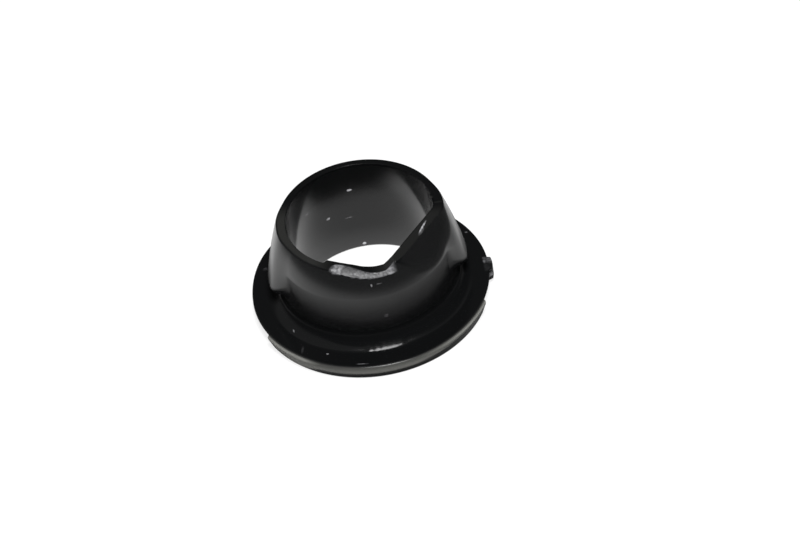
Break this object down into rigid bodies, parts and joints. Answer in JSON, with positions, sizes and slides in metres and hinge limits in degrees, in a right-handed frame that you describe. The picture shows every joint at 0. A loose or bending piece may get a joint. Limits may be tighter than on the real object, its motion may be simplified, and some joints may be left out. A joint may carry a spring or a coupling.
{
  "type": "door lock pin bushing",
  "caption": "Round snap-in bushing with a wide flange and a barbed collar that guides a door lock pin through a trim panel.",
  "frame": {"origin": "centre of the bore on the flange's show face, which is the face that the part lies on", "axes": "+Z along the bore, from the show face to the collar's rim; the two snap lugs are on +X and -X, and the dented side of the rim faces -Y and +X"},
  "size_m": [0.0173, 0.0172, 0.0079],
  "materials": {
    "black_plastic": "glossy moulded plastic with faint flow marks, nicks and a rough trimmed lip"
  },
  "bodies": {
    "root": {"bushing": "black_plastic"}
  },
  "joints": []
}
